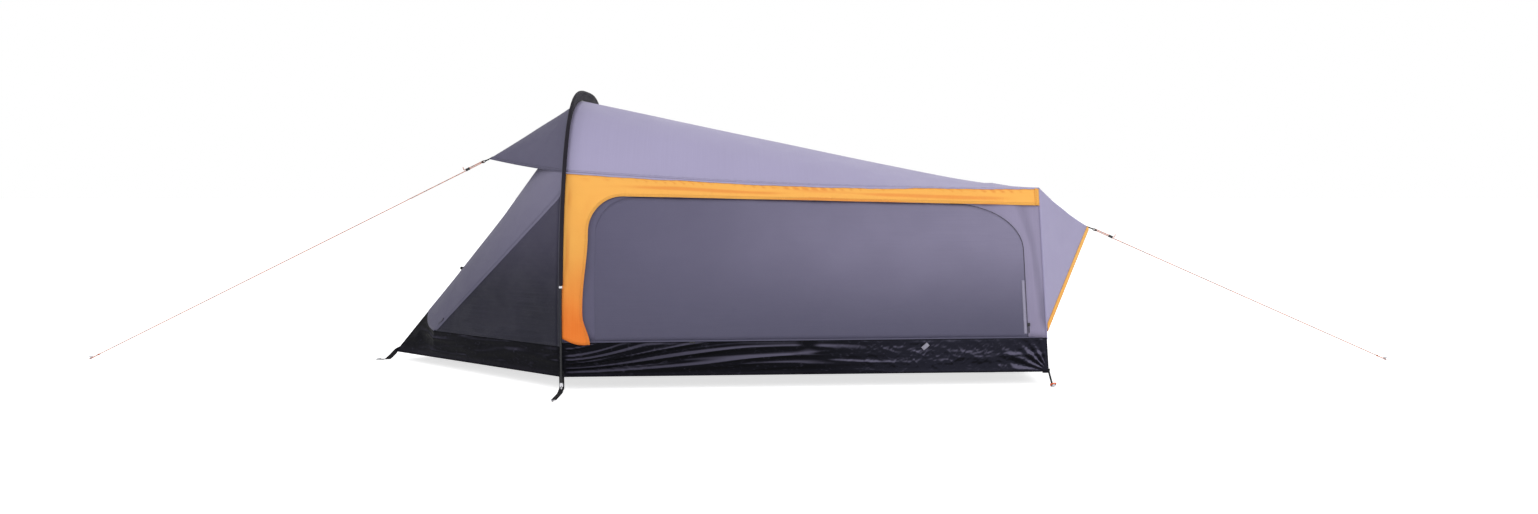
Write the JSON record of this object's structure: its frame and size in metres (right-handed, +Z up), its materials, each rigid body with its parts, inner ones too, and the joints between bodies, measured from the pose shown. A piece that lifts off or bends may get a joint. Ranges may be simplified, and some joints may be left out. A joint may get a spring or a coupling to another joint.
{
  "type": "trekking tent",
  "caption": "Low trekking tent with one arch pole, a hooded porch, side doors under orange storm flaps, black skirts, a rear beak and pegged guylines.",
  "frame": {"origin": "on the ground under the middle of the arch pole, on the groundsheet's underside", "axes": "+X towards the foot end, +Y towards the far side, +Z up"},
  "size_m": [5.877, 1.686, 1.3496],
  "materials": {
    "fly_lilac": "coated woven nylon, soft sheen",
    "fly_grey": "coated woven nylon, matt",
    "fly_dark": "coated woven nylon, matt",
    "fly_orange": "coated woven nylon, soft sheen",
    "skirt_black": "coated cloth, glossy and wrinkled",
    "hood_dark": "coated woven nylon, matt",
    "sleeve_mesh": "dense mesh",
    "pole_black": "anodised tube",
    "tip_metal": "turned, bare",
    "webbing_black": "woven webbing",
    "ring_orange": "moulded ring",
    "cord_orange": "braided cord with light flecks",
    "runner_black": "moulded",
    "peg_metal": "drawn rod, satin",
    "inner_grey": "breathable woven nylon",
    "inner_mesh": "insect mesh",
    "floor_black": "heavy coated nylon",
    "rod_black": "fibre-reinforced rod",
    "elastic_white": "covered shock cord"
  },
  "bodies": {
    "tent": {"roof": "fly_lilac", "rear_skirt": "skirt_black", "rear_wall": "inner_mesh", "front_panel": "fly_grey", "front_skirt": "skirt_black", "hood": "hood_dark", "beak": "fly_lilac", "pole_shock_cord": "elastic_white", "pole_sleeve": "sleeve_mesh", "front_strap": "webbing_black", "hood_loop": "webbing_black", "beak_loop": "webbing_black", "inner_canopy": "inner_grey", "groundsheet": "floor_black", "arch_pole_section_1": "pole_black", "arch_pole_section_2": "pole_black", "arch_pole_section_3": "pole_black", "arch_pole_section_4": "pole_black", "arch_pole_section_5": "pole_black", "arch_pole_section_6": "pole_black", "arch_pole_section_7": "pole_black", "guyline_front": "cord_orange", "guyline_rear": "cord_orange", "beak_binding_near": "fly_orange", "pole_tip_near": "tip_metal", "corner_strut_near": "rod_black", "arch_foot_strap_near": "webbing_black", "storm_flap_near": "fly_orange", "side_wall_near": "fly_grey", "side_skirt_near": "skirt_black", "corner_ring_near": "ring_orange", "rear_corner_strap_near": "webbing_black", "beak_binding_far": "fly_orange", "pole_tip_far": "tip_metal", "corner_strut_far": "rod_black", "arch_foot_strap_far": "webbing_black", "storm_flap_far": "fly_orange", "side_wall_far": "fly_grey", "side_skirt_far": "skirt_black", "corner_ring_far": "ring_orange", "rear_corner_strap_far": "webbing_black"},
    "side_door_near_body": {"side_door_near": "fly_grey"},
    "inner_door_near_body": {"inner_door_near": "inner_mesh"},
    "front_door_near_body": {"front_door_near": "fly_dark"},
    "front_slider_near": {"zip_slider_front_near": "runner_black"},
    "side_slider_near": {"zip_slider_side_near": "runner_black"},
    "arch_peg_near": {"peg_arch_near": "peg_metal"},
    "rear_peg_near": {"peg_rear_near": "peg_metal"},
    "side_door_far_body": {"side_door_far": "fly_grey"},
    "inner_door_far_body": {"inner_door_far": "inner_mesh"},
    "front_door_far_body": {"front_door_far": "fly_dark"},
    "front_slider_far": {"zip_slider_front_far": "runner_black"},
    "side_slider_far": {"zip_slider_side_far": "runner_black"},
    "arch_peg_far": {"peg_arch_far": "peg_metal"},
    "rear_peg_far": {"peg_rear_far": "peg_metal"},
    "front_peg": {"peg_front": "peg_metal"},
    "guy_peg_front": {"peg_guy_front": "peg_metal"},
    "runner_front_body": {"runner_front": "runner_black"},
    "guy_peg_rear": {"peg_guy_rear": "peg_metal"},
    "runner_rear_body": {"runner_rear": "runner_black"}
  },
  "joints": [
    {"name": "side_door_near_hinge", "type": "hinge", "parent": "tent", "child": "side_door_near_body", "pos_m": [0.98739, -0.58244, 0.1918], "axis": [0.9977, 0.0671, 0], "range_deg": [0, 105]},
    {"name": "inner_door_near_hinge", "type": "hinge", "parent": "tent", "child": "inner_door_near_body", "pos_m": [0.9211, -0.51121, 0.1306], "axis": [-0.9994, -0.0352, 0], "range_deg": [0, 80]},
    {"name": "front_door_near_hinge", "type": "hinge", "parent": "tent", "child": "front_door_near_body", "pos_m": [-0.0182, -0.61095, 0.47557], "axis": [0, 0.1711, 0.9853], "range_deg": [0, 100]},
    {"name": "front_zip_near_slide", "type": "slide", "parent": "tent", "child": "front_slider_near", "axis": [0.6656, -0.3915, 0.6354], "range_m": [0, 0.85]},
    {"name": "side_zip_near_slide", "type": "slide", "parent": "tent", "child": "side_slider_near", "axis": [-0.0417, 0.1408, 0.9892], "range_m": [0, 0.28]},
    {"name": "peg_arch_near_pull", "type": "slide", "parent": "tent", "child": "arch_peg_near", "axis": [0, 0, 1], "range_m": [0, 0.16]},
    {"name": "peg_rear_near_pull", "type": "slide", "parent": "tent", "child": "rear_peg_near", "axis": [0, 0, 1], "range_m": [0, 0.17]},
    {"name": "side_door_far_hinge", "type": "hinge", "parent": "tent", "child": "side_door_far_body", "pos_m": [0.98739, 0.58244, 0.1918], "axis": [-0.9977, 0.0671, 0], "range_deg": [0, 105]},
    {"name": "inner_door_far_hinge", "type": "hinge", "parent": "tent", "child": "inner_door_far_body", "pos_m": [0.9211, 0.51121, 0.1306], "axis": [0.9994, -0.0352, 0], "range_deg": [0, 80]},
    {"name": "front_door_far_hinge", "type": "hinge", "parent": "tent", "child": "front_door_far_body", "pos_m": [-0.0182, 0.61095, 0.47557], "axis": [0, 0.1711, -0.9853], "range_deg": [0, 100]},
    {"name": "front_zip_far_slide", "type": "slide", "parent": "tent", "child": "front_slider_far", "axis": [0.6656, 0.3915, 0.6354], "range_m": [0, 0.85]},
    {"name": "side_zip_far_slide", "type": "slide", "parent": "tent", "child": "side_slider_far", "axis": [-0.0417, -0.1408, 0.9892], "range_m": [0, 0.28]},
    {"name": "peg_arch_far_pull", "type": "slide", "parent": "tent", "child": "arch_peg_far", "axis": [0, 0, 1], "range_m": [0, 0.16]},
    {"name": "peg_rear_far_pull", "type": "slide", "parent": "tent", "child": "rear_peg_far", "axis": [0, 0, 1], "range_m": [0, 0.17]},
    {"name": "peg_front_pull", "type": "slide", "parent": "tent", "child": "front_peg", "axis": [0, 0, 1], "range_m": [0, 0.16]},
    {"name": "peg_guy_front_pull", "type": "slide", "parent": "tent", "child": "guy_peg_front", "axis": [0, 0, 1], "range_m": [0, 0.17]},
    {"name": "runner_front_slide", "type": "slide", "parent": "tent", "child": "runner_front_body", "axis": [0.8969, 0, 0.4422], "range_m": [0, 0.045]},
    {"name": "peg_guy_rear_pull", "type": "slide", "parent": "tent", "child": "guy_peg_rear", "axis": [0, 0, 1], "range_m": [0, 0.17]},
    {"name": "runner_rear_slide", "type": "slide", "parent": "tent", "child": "runner_rear_body", "axis": [-0.9146, 0, 0.4043], "range_m": [0, 0.045]}
  ]
}
